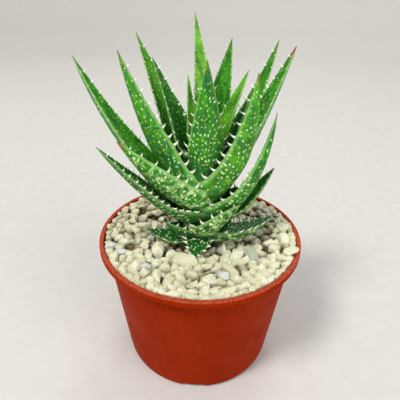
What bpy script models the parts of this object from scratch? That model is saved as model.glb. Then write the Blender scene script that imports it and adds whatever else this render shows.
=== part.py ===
"""A potted aloe at life size, in metres, with +Z up and the front towards -Y.

The origin is the centre of the pot's flat underside. The pot holds a plug of potting mix and a
bed of gravel, the short stem stands in a hole through both, and every leaf is a solid of its own,
seated on the stem, with its marginal teeth grown out of its edges.
"""

import random
from collections import namedtuple
from math import cos, degrees, floor, hypot, pi, radians, sin, sqrt

import bmesh
import bpy
from mathutils import Matrix, Vector

MM = 0.001

# Clearance between pieces that rest on each other, and the distance at which vertices are joined
SEAT_GAP = 0.3 * MM
WELD = 0.001 * MM

# Pot: a thin moulded plastic pot, measured across its lip and its foot
RIM_RADIUS = 52.5 * MM
POT_HEIGHT = 73.5 * MM
POT_WALL = 1.4 * MM
LIP_HEIGHT = 3.4 * MM
LIP_OVERHANG = 3.5 * MM
LIP_WIDTH = 2.2 * MM
LIP_ROUNDING = 0.5 * MM
FOOT_RADIUS = 39.5 * MM
HEEL_RADIUS = 42.6 * MM
HEEL_HEIGHT = 7.0 * MM
HEEL_CURVE_OUTSIDE = (
    (FOOT_RADIUS, 0.0),
    (FOOT_RADIUS + 1.9 * MM, 0.9 * MM),
    (HEEL_RADIUS - 0.7 * MM, 3.2 * MM),
    (HEEL_RADIUS, HEEL_HEIGHT),
)
HEEL_CURVE_INSIDE = (
    (FOOT_RADIUS + 1.2 * MM, 3.4 * MM),
    (FOOT_RADIUS - 0.9 * MM, POT_WALL),
)
ARCH_COUNT = 4
ARCH_LIFT = 2.0 * MM
ARCH_INNER_RADIUS = 30.0 * MM
DRAIN_INNER_RADIUS = 32.0 * MM
DRAIN_OUTER_RADIUS = 36.5 * MM
POT_SEGMENTS = 48

# Potting mix and gravel bed
SOIL_TOP = 60.0 * MM
SOIL_CLEARANCE = 1.2 * MM
BED_TOP = 67.5 * MM
BED_SEGMENTS = 48

# Stem, from the root crown in the potting mix to the growing point: (radius, height)
STEM_PROFILE = (
    (4.5 * MM, 44.0 * MM),
    (8.0 * MM, 50.0 * MM),
    (9.2 * MM, 60.0 * MM),
    (9.4 * MM, 76.0 * MM),
    (9.0 * MM, 84.0 * MM),
    (8.4 * MM, 91.0 * MM),
    (7.4 * MM, 98.0 * MM),
    (6.0 * MM, 104.0 * MM),
    (4.4 * MM, 109.0 * MM),
    (2.8 * MM, 113.5 * MM),
    (1.2 * MM, 116.5 * MM),
)
STEM_SEGMENTS = 24

# Pebbles of the gravel: two zones, lower under the leaves than beside the lip
PEBBLE_SEED = 7
PEBBLE_PITCH = 8.6 * MM
PEBBLE_JITTER = 1.3 * MM
PEBBLE_SIZES = (4.3 * MM, 5.4 * MM)
RIM_PEBBLES = 31
PEBBLE_INNER_RADIUS = 12.0 * MM
LOW_ZONE_RADIUS = 34.0 * MM
LOW_ZONE_TOP = 70.5 * MM
RIM_ZONE_TOP = 73.0 * MM
PEBBLE_TOP_SPREAD = 1.0 * MM
PEBBLE_SIDES = 6
PEBBLE_ROOT = 1.5 * MM
PEBBLE_UNEVEN = 1.2 * MM
PEBBLE_ROOT_SPREAD = 0.9
PEBBLE_CROWN_SPREAD = 0.62
PEBBLE_RAGGED = 0.1
PEBBLE_LENGTHS = (1.0, 1.25)
PEBBLE_BREADTHS = (0.8, 1.0)
RIM_PEBBLE_SWAY = 0.15
RIM_PEBBLE_INSET = 0.75
GRID_EDGE_SHARE = 0.75

# Leaves
MARGIN_THICKNESS = 0.75 * MM
LEAST_THICKNESS = 0.8 * MM
WIDEST_AT = 0.28
ROOT_WIDTH_SHARE = 0.92
CLASP_MOST = 38
TAPER_POWER = 1.35
THINNING_POWER = 0.55
KEEL_POWER = 0.75
CHANNEL_SHARE = 0.34
SEAT_RISE = 1.2 * MM
SEAT_NARROWING = 0.8
SHEATH_SHARE = 0.6
TOOTH_LENGTH = 2.4 * MM
TOOTH_BASE = 1.3 * MM
TOOTH_PITCH = 5.0 * MM
TOOTH_LEAN = 0.35
TIP_TOOTH_SHARE = 0.6
FEWEST_TEETH = 3
FIRST_TOOTH_AT = 0.16
LAST_TOOTH_AT = 0.93
FACE_STATIONS = 9
UPPER_COLUMNS = (-0.5, 0.0, 0.5)
LOWER_COLUMNS = (-0.6, 0.0, 0.6)

# One row for each leaf, from the lowest to the innermost. Lengths are in millimetres and angles
# in degrees; azimuth 0 is +X and 270 the front. rise is the slope at the root, reach the share
# of the chord that keeps that slope, and roll the turn of the blade about its own length.
Leaf = namedtuple("Leaf", "azimuth height rise reach tip width thick roll")
LEAVES = (
    Leaf(266, 74.5, 0, 0.4, (-5, -21, 72), 11.5, 3.6, 0),
    Leaf(194, 74.0, 5, 0.4, (-28, -4, 76), 10.5, 3.6, 0),
    Leaf(334, 74.5, 5, 0.4, (40, 8, 79), 12.0, 4.0, 0),
    Leaf(50, 74.0, 5, 0.4, (19, 29, 80), 11.5, 3.8, 0),
    Leaf(122, 74.0, 5, 0.4, (-20, 27, 79), 11.5, 3.8, 0),
    Leaf(224, 78.5, 25, 0.4, (-18, -13, 87), 9.0, 3.2, 0),
    Leaf(300, 79.5, 12, 0.4, (22, -10, 89), 12.0, 4.0, -10),
    Leaf(160, 81.0, 15, 0.4, (-29, 8, 91), 12.0, 4.2, 0),
    Leaf(14, 81.0, 30, 0.4, (34, 3, 112), 12.0, 4.2, 0),
    Leaf(86, 81.0, 20, 0.4, (-2, 37, 98), 12.0, 4.4, 0),
    Leaf(221, 84.0, 34, 0.4, (-42, -23, 126), 10.5, 4.0, 15),
    Leaf(264, 88.7, 33, 0.4, (-33, -22, 130), 13.6, 5.0, 0),
    Leaf(340, 88.0, 33, 0.45, (31, -9, 140), 14.0, 4.6, 0),
    Leaf(120, 87.5, 31, 0.4, (-28, 26, 120), 12.0, 4.4, 0),
    Leaf(53, 89.2, 32, 0.4, (26, 28, 118), 12.0, 4.4, 0),
    Leaf(185, 90.5, 48, 0.4, (-54, -3, 160), 15.0, 4.6, -15),
    Leaf(301, 95.2, 46, 0.45, (20, -16, 157), 15.0, 4.6, 0),
    Leaf(17, 96.0, 60, 0.5, (37, -1, 165), 13.0, 4.2, 10),
    Leaf(98, 96.0, 41, 0.4, (-1, 31, 134), 12.0, 4.4, 0),
    Leaf(210, 97.8, 60, 0.4, (-34, -9, 163), 13.4, 4.0, -8),
    Leaf(50, 101.5, 52, 0.42, (33, 15, 166), 12.0, 3.8, 0),
    Leaf(271, 102.0, 80, 0.4, (1, -15, 161), 14.2, 3.8, 0),
    Leaf(142, 101.5, 60, 0.4, (-28, 9, 167), 11.0, 3.6, 0),
    Leaf(112, 106.0, 66, 0.4, (-18, 13, 147), 9.0, 2.8, 0),
    Leaf(353, 105.5, 63, 0.4, (21, 4, 146), 7.4, 2.8, 0),
    Leaf(191, 106.0, 74, 0.4, (-22, 4, 158), 9.0, 2.8, 0),
    Leaf(60, 109.0, 70, 0.4, (12, 19, 165), 10.0, 2.8, 0),
    Leaf(87, 113.5, 87, 0.5, (-4, 13, 175), 8.8, 2.6, -15),
    Leaf(350, 111.0, 78, 0.4, (19, 1, 155), 6.6, 2.4, 12),
    Leaf(190, 113.0, 86, 0.4, (-6, 2, 151), 6.0, 2.2, 0),
)

# Colours: linear red, green and blue
TERRACOTTA = (0.42, 0.075, 0.025)
DARK_MIX = (0.035, 0.022, 0.014)
CREAM_STONE = (0.78, 0.74, 0.55)
STEM_GREEN = (0.10, 0.22, 0.05)
LEAF_GREEN = (0.045, 0.26, 0.03)


def clear_scene():
    for scene_object in list(bpy.data.objects):
        bpy.data.objects.remove(scene_object)


def make_material(name, colour, roughness):
    material = bpy.data.materials.new(name)
    material.use_nodes = True
    shader = material.node_tree.nodes["Principled BSDF"]
    shader.inputs["Base Color"].default_value = (*colour, 1.0)
    shader.inputs["Roughness"].default_value = roughness
    shader.inputs["Metallic"].default_value = 0.0
    material.diffuse_color = (*colour, 1.0)
    return material


def polar(azimuth, radius, height):
    angle = radians(azimuth)
    return Vector((radius * cos(angle), radius * sin(angle), height))


def read_profile(profile, height):
    """The radius of a (radius, height) profile at this height."""
    for (low_radius, low), (high_radius, high) in zip(profile, profile[1:]):
        if low <= height <= high:
            return low_radius + (high_radius - low_radius) * (height - low) / (high - low)
    return profile[0][0] if height < profile[0][1] else profile[-1][0]


def object_from_bmesh(name, bm, material, smooth_angle=40):
    bmesh.ops.recalc_face_normals(bm, faces=bm.faces)
    mesh = bpy.data.meshes.new(name)
    bm.to_mesh(mesh)
    bm.free()
    mesh.shade_smooth()
    mesh.set_sharp_from_angle(angle=radians(smooth_angle))
    mesh.materials.append(material)
    made = bpy.data.objects.new(name, mesh)
    bpy.context.scene.collection.objects.link(made)
    return made


def turned_rings(bm, profile, segments):
    """Rings of vertices for a (radius, height) profile; a point on the axis is a ring of one."""
    rings = []
    for radius, height in profile:
        if radius == 0:
            rings.append([bm.verts.new((0, 0, height))])
            continue
        ring = [bm.verts.new(polar(360 * i / segments, radius, height)) for i in range(segments)]
        rings.append(ring)
    return rings


def skin_rings(bm, rings, segments):
    """Faces between consecutive rings."""
    for lower, upper in zip(rings, rings[1:]):
        for i in range(segments):
            j = (i + 1) % segments
            lower_pair = [lower[i % len(lower)], lower[j % len(lower)]]
            upper_pair = [upper[j % len(upper)], upper[i % len(upper)]]
            bm.faces.new(list(dict.fromkeys(lower_pair + upper_pair)))


def turned_object(name, profile, segments, material):
    bm = bmesh.new()
    skin_rings(bm, turned_rings(bm, profile, segments), segments)
    return object_from_bmesh(name, bm, material)


# Pot

def wall_radius(height):
    """Outer radius of the pot's straight tapering wall."""
    top = POT_HEIGHT - LIP_HEIGHT
    share = (height - HEEL_HEIGHT) / (top - HEEL_HEIGHT)
    return HEEL_RADIUS + (RIM_RADIUS - LIP_OVERHANG - HEEL_RADIUS) * share


def inner_radius(height):
    return wall_radius(height) - POT_WALL


def pot_profile():
    """Outline of the pot's section, from the middle of its underside round to its inner floor."""
    under_lip = POT_HEIGHT - LIP_HEIGHT
    lip_bore = RIM_RADIUS - LIP_WIDTH
    floor_radii = (0, ARCH_INNER_RADIUS - POT_WALL, DRAIN_INNER_RADIUS, DRAIN_OUTER_RADIUS)
    outside = [(radius, 0) for radius in floor_radii]
    wall = [*HEEL_CURVE_OUTSIDE, (wall_radius(under_lip), under_lip)]
    lip = [
        (RIM_RADIUS - LIP_ROUNDING, under_lip),
        (RIM_RADIUS, under_lip + 2 * LIP_ROUNDING),
        (RIM_RADIUS, POT_HEIGHT - 2 * LIP_ROUNDING),
        (RIM_RADIUS - 2 * LIP_ROUNDING, POT_HEIGHT),
        (lip_bore, POT_HEIGHT),
        (lip_bore, under_lip + 2 * LIP_ROUNDING),
        (inner_radius(under_lip - 2 * LIP_ROUNDING), under_lip - 2 * LIP_ROUNDING),
        (inner_radius(HEEL_HEIGHT), HEEL_HEIGHT),
    ]
    inside = [(radius, POT_WALL) for radius in reversed(floor_radii)]
    return [*outside, *wall, *lip, *HEEL_CURVE_INSIDE, *inside]


def in_arch(segment):
    """Whether this vertex of a ring lies in a drainage arch of the foot."""
    per_arch = POT_SEGMENTS // ARCH_COUNT
    return segment % per_arch in (0, per_arch - 1)


def make_pot(material):
    bm = bmesh.new()
    profile = pot_profile()
    rings = turned_rings(bm, profile, POT_SEGMENTS)
    for (radius, height), ring in zip(profile, rings):
        if not ARCH_INNER_RADIUS < radius < HEEL_RADIUS or height > HEEL_HEIGHT / 2:
            continue
        lift = ARCH_LIFT if height <= POT_WALL else ARCH_LIFT / 2
        for segment, vertex in enumerate(ring):
            if in_arch(segment):
                vertex.co.z += lift
    skin_rings(bm, rings, POT_SEGMENTS)
    open_drains(bm, profile, rings)
    return object_from_bmesh("pot", bm, material, smooth_angle=30)


def open_drains(bm, profile, rings):
    """Cuts a slot through the floor at the middle of each arch and walls it round."""
    inner_rings = [ring for (radius, _), ring in zip(profile, rings) if radius == DRAIN_INNER_RADIUS]
    outer_rings = [ring for (radius, _), ring in zip(profile, rings) if radius == DRAIN_OUTER_RADIUS]
    for segment in range(POT_SEGMENTS):
        following = (segment + 1) % POT_SEGMENTS
        if not (in_arch(segment) and in_arch(following)):
            continue
        mouths = []
        for inner, outer in zip(inner_rings, outer_rings):
            mouth = [inner[segment], inner[following], outer[following], outer[segment]]
            bm.faces.remove(bm.faces.get(mouth))
            mouths.append(mouth)
        low, high = mouths
        for i in range(len(low)):
            j = (i + 1) % len(low)
            bm.faces.new((low[i], low[j], high[j], high[i]))


# Potting mix, gravel and stem

def stem_radius(height):
    return read_profile(STEM_PROFILE, height)


def make_soil(material):
    hole = stem_radius(SOIL_TOP) + SEAT_GAP
    hole_floor = STEM_PROFILE[0][1] - SEAT_GAP
    bottom = POT_WALL + SEAT_GAP
    shoulder = POT_WALL + ARCH_LIFT + 2 * SEAT_GAP
    profile = [
        (0, bottom),
        (ARCH_INNER_RADIUS - 2 * POT_WALL, bottom),
        (ARCH_INNER_RADIUS, shoulder),
        (FOOT_RADIUS - SOIL_CLEARANCE, shoulder),
        (inner_radius(HEEL_HEIGHT) - SOIL_CLEARANCE, HEEL_HEIGHT),
        (inner_radius(SOIL_TOP) - SEAT_GAP, SOIL_TOP),
        (hole, SOIL_TOP),
        (hole, hole_floor),
        (0, hole_floor),
    ]
    return turned_object("potting_mix", profile, BED_SEGMENTS, material)


def make_stem(material):
    top_radius, top = STEM_PROFILE[-1]
    bottom = STEM_PROFILE[0][1]
    profile = [(0, bottom), *STEM_PROFILE, (0, top + top_radius / 2)]
    return turned_object("stem", profile, STEM_SEGMENTS, material)


def pebble_places():
    """Seeded places: a ring of pebbles beside the pot's wall, and a hexagonal grid within it."""
    draw = random.Random(PEBBLE_SEED)
    ring_radius = inner_radius(BED_TOP) - RIM_PEBBLE_INSET * PEBBLE_SIZES[0]
    for i in range(RIM_PEBBLES):
        turn = 360 * (i + draw.uniform(-RIM_PEBBLE_SWAY, RIM_PEBBLE_SWAY)) / RIM_PEBBLES
        yield draw, polar(turn, ring_radius, 0), draw.uniform(*PEBBLE_SIZES)
    row_step = PEBBLE_PITCH * sqrt(3) / 2
    grid_radius = ring_radius - PEBBLE_PITCH * GRID_EDGE_SHARE
    rows = floor(ring_radius / row_step)
    for row in range(-rows, rows + 1):
        for column in range(-rows - 1, rows + 2):
            sway = Vector((draw.uniform(-1, 1), draw.uniform(-1, 1), 0)) * PEBBLE_JITTER
            place = Vector(((column + row % 2 / 2) * PEBBLE_PITCH, row * row_step, 0)) + sway
            size = draw.uniform(*PEBBLE_SIZES)
            if PEBBLE_INNER_RADIUS < place.length < grid_radius:
                yield draw, place, size


def make_pebble(draw, place, size):
    """A stone with few flat sides, longer than it is broad, with a smaller uneven top."""
    zone_top = LOW_ZONE_TOP if place.length < LOW_ZONE_RADIUS else RIM_ZONE_TOP
    top = zone_top - draw.random() * PEBBLE_TOP_SPREAD
    length = size * draw.uniform(*PEBBLE_LENGTHS)
    breadth = size * draw.uniform(*PEBBLE_BREADTHS)
    turn = Matrix.Rotation(draw.uniform(0, 2 * pi), 3, "Z")
    inner_limit = stem_radius(BED_TOP) + 2 * SEAT_GAP
    levels = (
        (PEBBLE_ROOT_SPREAD, BED_TOP - PEBBLE_ROOT, inner_radius(BED_TOP - PEBBLE_ROOT)),
        (1.0, BED_TOP - SEAT_GAP, inner_radius(BED_TOP)),
        (PEBBLE_CROWN_SPREAD, top, RIM_RADIUS - LIP_WIDTH),
    )
    bm = bmesh.new()
    rings = []
    for spread, height, wall in levels:
        ring = []
        for side in range(PEBBLE_SIDES):
            angle = 2 * pi * side / PEBBLE_SIDES
            reach = spread * draw.uniform(1 - PEBBLE_RAGGED, 1 + PEBBLE_RAGGED)
            corner = place + turn @ Vector((length * cos(angle), breadth * sin(angle), 0)) * reach
            corner *= min(max(corner.length, inner_limit), wall - 2 * SEAT_GAP) / corner.length
            drop = draw.random() * PEBBLE_UNEVEN if height == top else 0
            ring.append(bm.verts.new(corner + Vector((0, 0, height - drop))))
        rings.append(ring)
    skin_rings(bm, rings, PEBBLE_SIDES)
    bm.faces.new(rings[0])
    bm.faces.new(rings[-1])
    bmesh.ops.recalc_face_normals(bm, faces=bm.faces)
    mesh = bpy.data.meshes.new("pebble")
    bm.to_mesh(mesh)
    bm.free()
    return bpy.data.objects.new("pebble", mesh)


def make_gravel(material):
    hole = stem_radius(BED_TOP) + SEAT_GAP
    bottom = SOIL_TOP + SEAT_GAP
    profile = [
        (hole, bottom),
        (inner_radius(bottom) - SEAT_GAP, bottom),
        (inner_radius(BED_TOP) - SEAT_GAP, BED_TOP),
        (hole, BED_TOP),
        (hole, bottom),
    ]
    bm = bmesh.new()
    rings = turned_rings(bm, profile[:-1], BED_SEGMENTS)
    skin_rings(bm, [*rings, rings[0]], BED_SEGMENTS)
    gravel = object_from_bmesh("gravel", bm, material)
    pebbles = bpy.data.collections.new("pebbles")
    bpy.context.scene.collection.children.link(pebbles)
    for place in pebble_places():
        pebbles.objects.link(make_pebble(*place))
    join_collection(gravel, pebbles)
    return gravel


def join_collection(target, collection):
    """Applies one Boolean union with every object of the collection, then removes them."""
    union = target.modifiers.new("union", "BOOLEAN")
    union.operation = "UNION"
    union.operand_type = "COLLECTION"
    union.collection = collection
    union.solver = "EXACT"
    bpy.context.view_layer.update()
    graph = bpy.context.evaluated_depsgraph_get()
    joined = bpy.data.meshes.new_from_object(target.evaluated_get(graph))
    keep_outer_skin(joined)
    target.modifiers.clear()
    target.data = joined
    for helper in list(collection.objects):
        bpy.data.objects.remove(helper)
    bpy.data.collections.remove(collection)


def keep_outer_skin(mesh):
    """Keeps the faces joined edge to edge with the lowest one, so no loose scrap or sealed hollow is left."""
    bm = bmesh.new()
    bm.from_mesh(mesh)
    bmesh.ops.triangulate(bm, faces=bm.faces)
    bmesh.ops.remove_doubles(bm, verts=bm.verts, dist=WELD)
    bmesh.ops.dissolve_degenerate(bm, edges=bm.edges, dist=WELD)
    lowest = min(bm.faces, key=lambda face: face.calc_center_median().z)
    joined = {lowest}
    front = [lowest]
    while front:
        for edge in front.pop().edges:
            for face in edge.link_faces:
                if face not in joined:
                    joined.add(face)
                    front.append(face)
    bmesh.ops.delete(bm, geom=[face for face in bm.faces if face not in joined], context="FACES")
    bm.to_mesh(mesh)
    bm.free()


# Leaves

class Blade:
    """The centre line and the cross-sections of one leaf."""

    def __init__(self, leaf):
        self.leaf = leaf
        self.height = leaf.height * MM
        self.half_width = leaf.width * MM / 2
        self.thick = leaf.thick * MM
        rise = radians(leaf.rise)
        outward = polar(leaf.azimuth, 1, 0)
        start_radius = stem_radius(self.height) + SEAT_GAP + self.thick / 2 * sin(rise)
        self.start = polar(leaf.azimuth, start_radius, self.height)
        self.tip = Vector(leaf.tip) * MM
        chord = self.tip - self.start
        self.length = chord.length
        root_slope = outward * cos(rise) + Vector((0, 0, sin(rise)))
        self.knee = self.start + root_slope * leaf.reach * self.length
        flat = Vector((chord.x, chord.y, 0)).normalized()
        along = chord.normalized()
        self.inward = Vector((0, 0, 1)) * hypot(along.x, along.y) - flat * along.z

    def centre(self, t):
        return self.start * (1 - t) ** 2 + self.knee * 2 * t * (1 - t) + self.tip * t ** 2

    def frame(self, t):
        """Unit vectors across the blade, out of its inner face, and along it."""
        along = ((self.knee - self.start) * (1 - t) + (self.tip - self.knee) * t).normalized()
        across = self.inward.cross(along).normalized()
        out = along.cross(across)
        roll = radians(self.leaf.roll) * min(1.0, t / WIDEST_AT)
        return across * cos(roll) + out * sin(roll), out * cos(roll) - across * sin(roll), along

    def width_at(self, t):
        if t < WIDEST_AT:
            share = ROOT_WIDTH_SHARE + (1 - ROOT_WIDTH_SHARE) * sin(pi / 2 * t / WIDEST_AT)
        else:
            share = 1 - ((t - WIDEST_AT) / (1 - WIDEST_AT)) ** TAPER_POWER
        return self.half_width * share

    def thickness_at(self, t):
        return max(LEAST_THICKNESS, self.thick * (1 - t) ** THINNING_POWER)

    def point(self, t, u, upper):
        """The place at share t of the length and u of the half width, on the inner or outer face."""
        if t == 0:
            return self.root_point(u, upper)
        half, thick = self.width_at(t), self.thickness_at(t)
        channel = CHANNEL_SHARE * half
        rim = thick / 2 + channel
        if upper:
            lift = thick / 2 + channel * u * u
        else:
            edge = rim - min(MARGIN_THICKNESS, thick)
            lift = edge - (edge + thick / 2) * (1 - u * u) ** KEEL_POWER
        across, out, _ = self.frame(t)
        return self.centre(t) + across * half * u + out * lift

    def root_point(self, u, upper):
        """The end of the leaf lies on the stem, wrapped round it."""
        rise = radians(self.leaf.rise)
        half_height = self.thick / 2 * cos(rise) + SEAT_RISE * sin(rise)
        lift = half_height if upper else -half_height - SHEATH_SHARE * self.thick * sin(rise)
        height = self.height + lift * (1 - SEAT_NARROWING * u * u)
        radius = stem_radius(height) + SEAT_GAP
        clasp = min(degrees(self.width_at(0) / radius), CLASP_MOST)
        return polar(self.leaf.azimuth + clasp * u, radius, height)


def tooth_bases(blade):
    """(start, end) of each tooth's base as shares of the blade's length."""
    count = max(FEWEST_TEETH, round(blade.length * (LAST_TOOTH_AT - FIRST_TOOTH_AT) / TOOTH_PITCH))
    base = TOOTH_BASE / blade.length
    step = (LAST_TOOTH_AT - FIRST_TOOTH_AT - base) / (count - 1)
    return [(FIRST_TOOTH_AT + i * step, FIRST_TOOTH_AT + i * step + base) for i in range(count)]


def zip_lines(bm, first, second):
    """Triangles between two lines of (share, vertex) that start and end together."""
    i = j = 0
    while i < len(first) - 1 or j < len(second) - 1:
        first_left, second_left = i < len(first) - 1, j < len(second) - 1
        if not second_left or (first_left and first[i + 1][0] <= second[j + 1][0]):
            corners = (first[i][1], first[i + 1][1], second[j][1])
            i += 1
        else:
            corners = (first[i][1], second[j + 1][1], second[j][1])
            j += 1
        if len(set(corners)) == 3:
            bm.faces.new(corners)


def make_leaf(name, leaf, material):
    blade = Blade(leaf)
    bases = tooth_bases(blade)
    edge_shares = [0.0, *[share for base in bases for share in base], 1.0]
    face_shares = [i / (FACE_STATIONS - 1) for i in range(FACE_STATIONS)]
    bm = bmesh.new()
    apex = bm.verts.new(blade.tip)

    def line(shares, u, upper):
        return [(t, bm.verts.new(blade.point(t, u, upper))) for t in shares[:-1]] + [(1.0, apex)]

    upper = [line(face_shares, u, True) for u in UPPER_COLUMNS]
    lower = [line(face_shares, u, False) for u in LOWER_COLUMNS]
    upper = [line(edge_shares, -1, True), *upper, line(edge_shares, 1, True)]
    lower = [line(edge_shares, -1, False), *lower, line(edge_shares, 1, False)]
    for face in (upper, lower):
        for first, second in zip(face, face[1:]):
            zip_lines(bm, first, second)
    root_top = [column[0][1] for column in upper]
    root_base = [column[0][1] for column in lower]
    for i in range(len(root_top) - 1):
        bm.faces.new((root_top[i], root_top[i + 1], root_base[i + 1], root_base[i]))
    for side, top, base in ((-1, upper[0], lower[0]), (1, upper[-1], lower[-1])):
        close_margin(bm, blade, side, top, base, bases)
    return object_from_bmesh(name, bm, material)


def close_margin(bm, blade, side, top, base, bases):
    """The narrow edge of the blade, with a tooth raised from each tooth base."""
    starts = [start for start, end in bases]
    for (t, a), (_, b), (_, c), (_, d) in zip(top, top[1:], base[1:], base):
        corners = list(dict.fromkeys((a, b, c, d)))
        if t not in starts:
            bm.faces.new(corners)
            continue
        across, _, along = blade.frame(t)
        fullness = blade.width_at(t) / blade.half_width
        size = TOOTH_LENGTH * (TIP_TOOTH_SHARE + (1 - TIP_TOOTH_SHARE) * fullness)
        middle = sum((corner.co for corner in corners), Vector()) / len(corners)
        point = bm.verts.new(middle + (across * side + along * TOOTH_LEAN).normalized() * size)
        for i, corner in enumerate(corners):
            bm.faces.new((corner, corners[(i + 1) % len(corners)], point))


def main():
    clear_scene()
    make_pot(make_material("pot_plastic", TERRACOTTA, 0.45))
    make_soil(make_material("potting_mix", DARK_MIX, 0.95))
    make_gravel(make_material("gravel_stone", CREAM_STONE, 0.85))
    make_stem(make_material("stem_tissue", STEM_GREEN, 0.6))
    leaf_material = make_material("leaf_tissue", LEAF_GREEN, 0.4)
    for number, leaf in enumerate(LEAVES, 1):
        make_leaf(f"leaf_{number:02d}", leaf, leaf_material)


main()
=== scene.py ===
"""The potted aloe's fine pieces and finishes, in metres, with +Z up and the front towards -Y."""

import random
from collections import namedtuple
from math import cos, degrees, hypot, pi, radians, sin

import bmesh
import bpy
import numpy as np
from mathutils import Matrix, Vector, noise


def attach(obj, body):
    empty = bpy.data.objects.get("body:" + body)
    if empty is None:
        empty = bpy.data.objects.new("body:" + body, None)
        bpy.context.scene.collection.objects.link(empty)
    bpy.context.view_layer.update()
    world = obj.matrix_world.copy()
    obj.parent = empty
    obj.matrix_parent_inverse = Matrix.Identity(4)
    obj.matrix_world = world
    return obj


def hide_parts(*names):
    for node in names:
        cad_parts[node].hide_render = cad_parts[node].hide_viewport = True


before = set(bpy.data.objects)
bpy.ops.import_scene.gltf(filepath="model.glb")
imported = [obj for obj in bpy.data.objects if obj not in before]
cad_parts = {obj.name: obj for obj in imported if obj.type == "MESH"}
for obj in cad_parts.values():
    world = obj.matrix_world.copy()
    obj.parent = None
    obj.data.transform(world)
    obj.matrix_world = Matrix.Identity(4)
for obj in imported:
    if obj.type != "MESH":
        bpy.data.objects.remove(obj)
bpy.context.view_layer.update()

MM = 0.001

# Camera: a wide lens above the pot, in front of it
FRAME_PIXELS = 400
FOCAL_PIXELS = 346
SENSOR_WIDTH = 36.0
CAMERA_PLACE = (-0.6 * MM, -153.4 * MM, 178.9 * MM)
CAMERA_PITCH = 60.4
CAMERA_ROLL = 1.3
CAMERA_NEAR = 0.01

# Pot
SEAT_GAP = 0.3 * MM
RIM_RADIUS = 52.5 * MM
POT_HEIGHT = 73.5 * MM
POT_WALL = 1.4 * MM
LIP_HEIGHT = 3.4 * MM
LIP_OVERHANG = 3.5 * MM
LIP_WIDTH = 2.2 * MM
LIP_ROUNDING = 0.55 * MM
FOOT_RADIUS = 39.5 * MM
HEEL_RADIUS = 42.6 * MM
HEEL_HEIGHT = 7 * MM
HEEL_INSET = 0.75 * MM
HEEL_LIFT = 1.1 * MM
FLOOR_FLARE = 0.6 * MM
FLOOR_INSET = 1.2 * MM
ARCH_LIFT = 2 * MM
ARCH_HALF_ANGLE = 8.1
ARCH_MIDDLE = 267.8
ARCH_EDGE = 0.2
ARCH_COUNT = 4
ARCH_INNER_RADIUS = 30 * MM
DRAIN_INNER_RADIUS = 32 * MM
DRAIN_OUTER_RADIUS = 36.5 * MM
DRAIN_HALF_ANGLE = 3.8
ANGLE_SLACK = 0.01
POT_SEGMENTS = 180
ROUNDING_STEPS = 5
POT_SHARP_ANGLE = 35

# Stem: its radius at each height
STEM_HEIGHTS = np.array((44, 50, 60, 76, 84, 91, 98, 104, 109, 113.5, 116.5)) * MM
STEM_RADII = np.array((4.5, 8, 9.2, 9.4, 9, 8.4, 7.4, 6, 4.4, 2.8, 1.2)) * MM

# Stones that stand out: centre, length and breadth in millimetres, then the long axis's turn from
# the right and its rise in degrees
Stone = namedtuple("Stone", "x y z length breadth turn rise kind")
NAMED_STONES = [Stone(*row) for row in (
    (-21, -16.5, 71, 11, 6.2, 90, 25, "cream"),
    (-14.5, -18.5, 70.6, 7, 5.2, 60, 0, "pale"),
    (-7.5, -23.5, 70.6, 13, 8, 5, 0, "cream"),
    (18, -19, 71, 10, 6.8, 60, 20, "cream"),
    (25.5, -20, 71.2, 12, 6.5, 100, 15, "grey"),
    (11, -34.5, 71.6, 6.5, 5.6, 120, 0, "white"),
    (14, -29.5, 71.6, 12, 4.8, -55, 10, "cream"),
    (23, -37, 71.4, 12, 5, -40, 0, "cream"),
    (12, -44, 71.8, 12.5, 5.6, 20, 5, "cream"),
    (4.5, -38, 71.2, 9, 6.8, 0, 0, "cream"),
    (-19.5, -37.5, 71.8, 11.5, 4.6, 90, 15, "cream"),
    (-14, -41, 71.6, 11, 5.4, 75, 15, "cream"),
    (-9, -36.5, 71.2, 11, 5, 95, 10, "cream"),
    (-44.5, -14.5, 72, 7, 4.2, 20, 0, "white"),
    (-38, -19, 71.4, 7.4, 4.8, -5, 0, "white"),
    (-30, -30, 71.4, 11, 6.5, 70, 10, "cream"),
    (-16, -28.5, 70.8, 7, 6.2, 90, 0, "cream"),
    (-25, -33.5, 71.4, 6.5, 5.6, 90, 0, "cream"),
    (2.5, -44.5, 71.4, 9, 4.8, 95, 10, "cream"),
    (-7.5, -44.8, 71.2, 7.4, 6.6, 90, 0, "cream"),
    (-25, -39.5, 71.4, 6, 5.2, 40, 0, "cream"),
    (29.5, -33, 71.2, 9, 5.6, 100, 10, "cream"),
    (31, -24.5, 71, 9, 6.6, 80, 0, "cream"),
    (43.5, -5.5, 71.6, 10.5, 7.4, 90, 0, "cream"),
    (44.5, 5.5, 71.8, 9, 7, 90, 0, "pale"),
    (44.2, -18.6, 74.4, 8.4, 3.8, 8, 24, "cream"),
    (-41.5, -22.5, 71.8, 8, 5.6, 110, 0, "cream"),
    (-31, -18.5, 71, 7, 6, 0, 0, "cream"),
    (17.5, -41.5, 71.2, 7, 5.2, 30, 0, "cream"),
    (31.5, 1.5, 71, 7, 5, 60, 0, "grey"),
)]
NAMED_STONE_ROLL = 15
NAMED_STONE_HEIGHT = 0.85
PERLITE_PLACE = (0.9 * MM, -13.4 * MM, 75.4 * MM)
PERLITE_RADIUS = 0.8 * MM

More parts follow.
